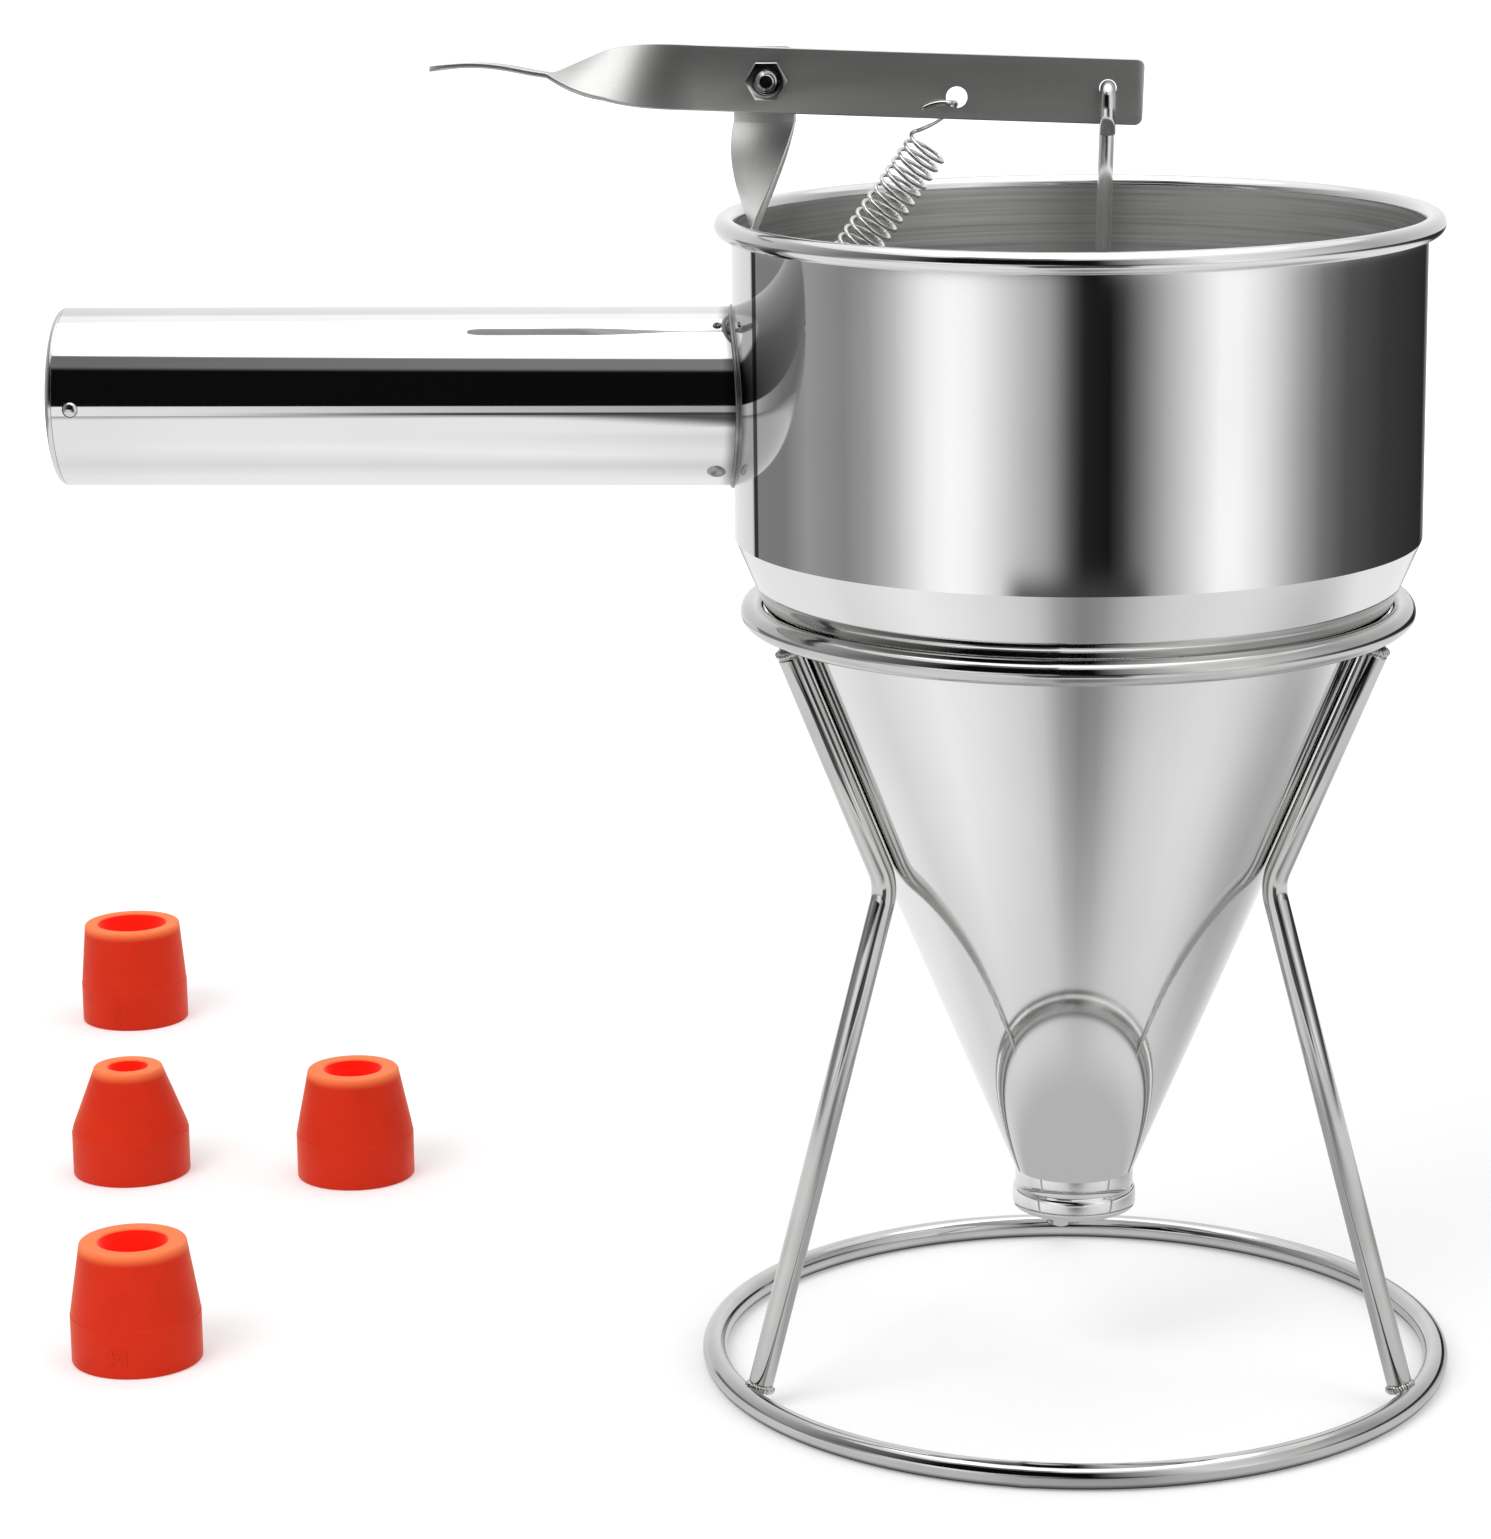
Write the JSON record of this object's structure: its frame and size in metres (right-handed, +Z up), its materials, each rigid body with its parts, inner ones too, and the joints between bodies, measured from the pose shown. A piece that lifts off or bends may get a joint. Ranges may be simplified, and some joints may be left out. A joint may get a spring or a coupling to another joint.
{
  "type": "pancake batter dispenser",
  "caption": "Steel funnel dispenser with tube handle, thumb lever, return spring and stopper rod on a wire stand, with loose silicone nozzles.",
  "frame": {"origin": "middle of the bounding box, on the surface that the stand and the nozzles rest on", "axes": "+Z up along the funnel's axis, -X along the handle away from the bowl, -Y towards the side with the pivot's nut"},
  "size_m": [0.3212, 0.3164, 0.2575],
  "materials": {
    "bowl_wall": "mirror-polished stainless steel outside, brushed inside",
    "funnel_cone": "mirror-polished stainless steel outside, brushed inside",
    "outlet_neck": "mirror-polished stainless steel outside, brushed inside",
    "handle_tube": "polished stainless steel with fine brush lines",
    "handle_end_cap": "polished stainless steel with fine brush lines",
    "lever_post": "satin stainless steel",
    "thumb_lever": "satin stainless steel",
    "stopper_rod": "satin stainless steel",
    "outlet_stopper": "satin stainless steel",
    "spring_anchor": "bright plated steel",
    "return_spring": "bright plated steel",
    "pivot_bolt": "bright plated steel",
    "pivot_washer": "bright plated steel",
    "pivot_nut": "bright plated steel",
    "stand_top_ring": "chrome-plated steel wire",
    "stand_base_ring": "chrome-plated steel wire",
    "stand_leg_left": "chrome-plated steel wire",
    "stand_leg_right": "chrome-plated steel wire",
    "stand_leg_back": "chrome-plated steel wire",
    "nozzle_17mm": "satin orange-red silicone",
    "nozzle_9mm": "satin orange-red silicone",
    "nozzle_13mm": "satin orange-red silicone",
    "nozzle_14mm": "satin orange-red silicone"
  },
  "bodies": {
    "stand": {"stand_top_ring": "stand_top_ring", "stand_base_ring": "stand_base_ring", "stand_leg_left": "stand_leg_left", "stand_leg_right": "stand_leg_right", "stand_leg_back": "stand_leg_back"},
    "funnel": {"bowl_wall": "bowl_wall", "funnel_cone": "funnel_cone", "outlet_neck": "outlet_neck", "handle_tube": "handle_tube", "handle_end_cap": "handle_end_cap", "lever_post": "lever_post", "spring_anchor": "spring_anchor", "pivot_bolt": "pivot_bolt", "pivot_washer": "pivot_washer", "pivot_nut": "pivot_nut", "return_spring": "return_spring"},
    "lever": {"thumb_lever": "thumb_lever"},
    "stopper": {"stopper_rod": "stopper_rod", "outlet_stopper": "outlet_stopper"},
    "loose_nozzle_17mm": {"nozzle_17mm": "nozzle_17mm"},
    "loose_nozzle_9mm": {"nozzle_9mm": "nozzle_9mm"},
    "loose_nozzle_13mm": {"nozzle_13mm": "nozzle_13mm"},
    "loose_nozzle_14mm": {"nozzle_14mm": "nozzle_14mm"}
  },
  "joints": [
    {"name": "funnel_lift", "type": "slide", "parent": "stand", "child": "funnel", "axis": [0, 0, 1], "range_m": [0, 0.13]},
    {"name": "lever_pivot", "type": "hinge", "parent": "funnel", "child": "lever", "pos_m": [0.02955, -0.0872, 0.2507], "axis": [0, -1, 0], "range_deg": [0, 15], "stiffness_Nm_per_rad": 0.48, "springref_deg": -9.74, "deforming": ["return_spring"]},
    {"name": "rod_swing", "type": "hinge", "parent": "lever", "child": "stopper", "pos_m": [0.09273, -0.0872, 0.24887], "axis": [0, -1, 0], "range_deg": [-15, 0]},
    {"name": "nozzle_17mm_lift", "type": "slide", "parent": "stand", "child": "loose_nozzle_17mm", "axis": [0, 0, 1], "range_m": [0, 0.1]},
    {"name": "nozzle_9mm_lift", "type": "slide", "parent": "stand", "child": "loose_nozzle_9mm", "axis": [0, 0, 1], "range_m": [0, 0.1]},
    {"name": "nozzle_13mm_lift", "type": "slide", "parent": "stand", "child": "loose_nozzle_13mm", "axis": [0, 0, 1], "range_m": [0, 0.1]},
    {"name": "nozzle_14mm_lift", "type": "slide", "parent": "stand", "child": "loose_nozzle_14mm", "axis": [0, 0, 1], "range_m": [0, 0.1]}
  ],
  "couplings": [
    {"joint": "rod_swing", "follows": "lever_pivot", "ratio": -1}
  ]
}
